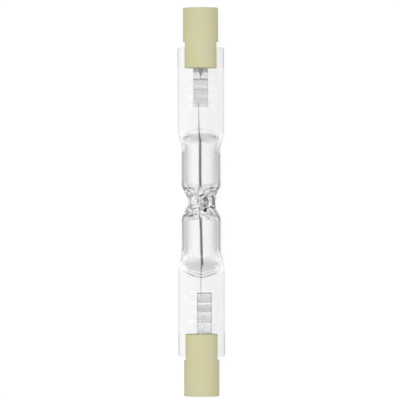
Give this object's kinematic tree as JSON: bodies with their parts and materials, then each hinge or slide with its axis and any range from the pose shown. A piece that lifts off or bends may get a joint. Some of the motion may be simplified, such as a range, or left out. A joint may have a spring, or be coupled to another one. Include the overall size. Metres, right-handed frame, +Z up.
{
  "type": "linear halogen bulb",
  "caption": "Double-ended linear halogen lamp: a waisted clear quartz tube with coiled filament, flat pinch seals and slotted ceramic end caps.",
  "frame": {"origin": "on the floor, at the bottom centre of the lying lamp", "axes": "+X along the lamp towards its upper cap, +Z up from the floor. The lamp rests on its tube and on the lower edges of its pinch seals, so the faces of the seals lean towards -Y"},
  "size_m": [0.078, 0.0084, 0.0083],
  "materials": {
    "quartz": "clear fused quartz",
    "tungsten": "bright drawn tungsten wire",
    "molybdenum_foil": "bright rolled foil",
    "molybdenum_wire": "drawn wire",
    "ceramic": "matt unglazed, pale yellow-green",
    "contact_metal": "nickel",
    "cement": "matt fired cement"
  },
  "bodies": {
    "root": {"quartz_envelope": "quartz", "filament": "tungsten", "foil_upper": "molybdenum_foil", "foil_lower": "molybdenum_foil", "outer_lead_upper": "molybdenum_wire", "outer_lead_lower": "molybdenum_wire", "cap_upper": "ceramic", "cap_lower": "ceramic", "contact_upper": "contact_metal", "contact_lower": "contact_metal", "cement_upper": "cement", "cement_lower": "cement"}
  },
  "joints": []
}
